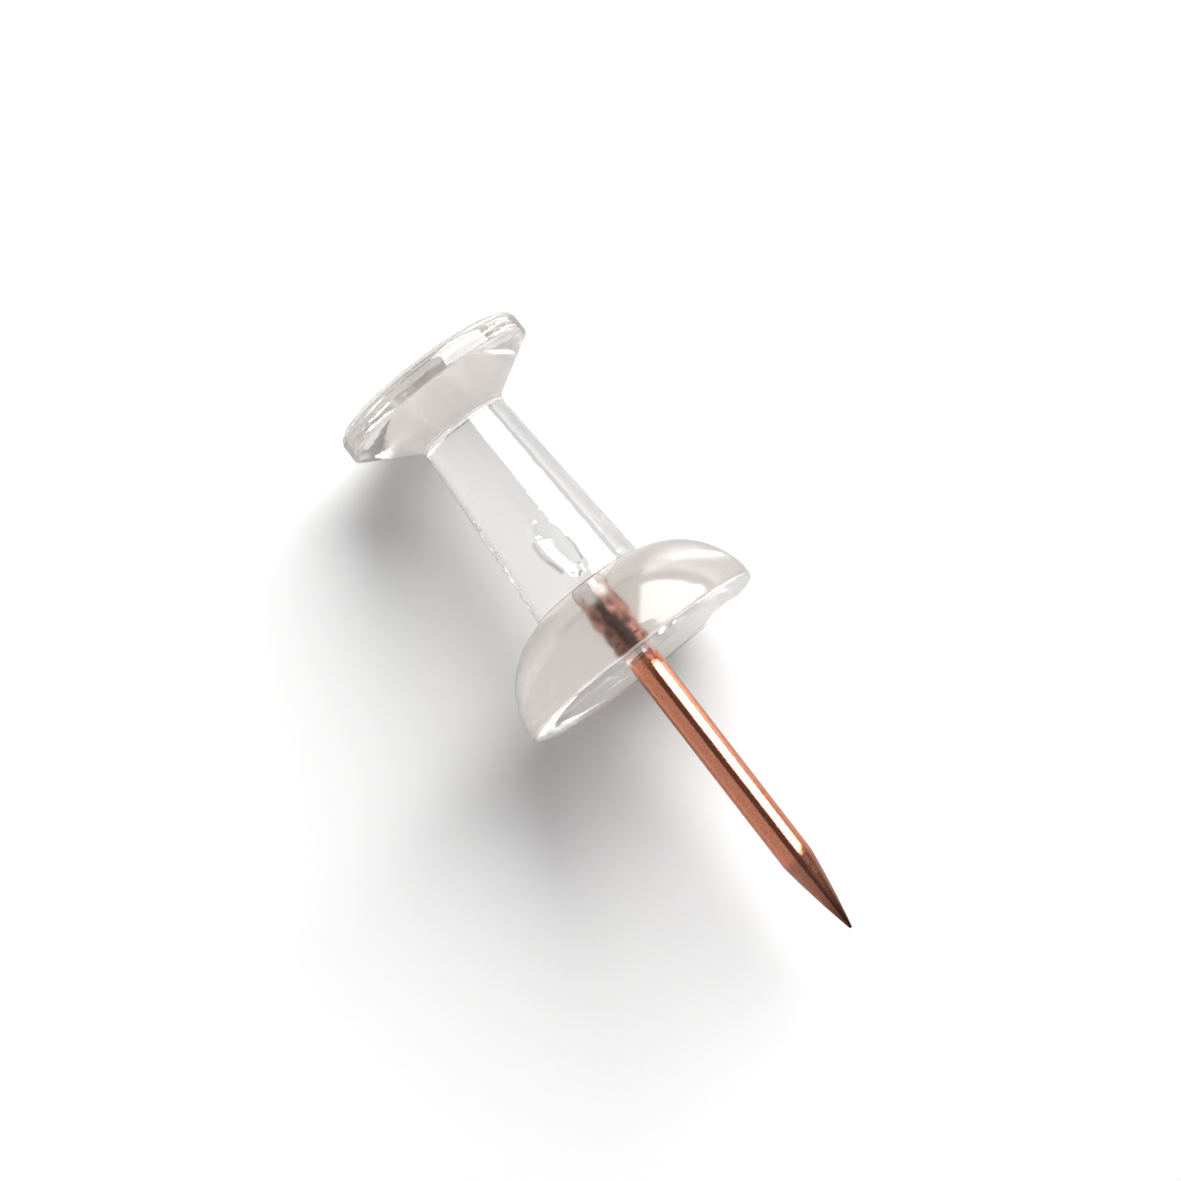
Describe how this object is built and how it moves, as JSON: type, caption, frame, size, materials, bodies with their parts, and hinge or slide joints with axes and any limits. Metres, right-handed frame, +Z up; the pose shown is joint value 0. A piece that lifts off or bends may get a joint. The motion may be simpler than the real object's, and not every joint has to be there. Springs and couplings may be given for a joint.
{
  "type": "push pin",
  "caption": "Clear moulded push pin with a flared head, tapered grip and domed flange round a copper-plated steel needle, lying on its side.",
  "frame": {"origin": "centre of the bounding box on the table that the pin lies on", "axes": "+X towards the needle's point, +Z up; the pin lies on its flange rim and head rim with its axis in the XZ plane, the point raised"},
  "size_m": [0.0252, 0.0096, 0.0097],
  "materials": {
    "clear_plastic": "gloss",
    "copper_plate": "polished"
  },
  "bodies": {
    "root": {"handle": "clear_plastic", "needle": "copper_plate"}
  },
  "joints": []
}
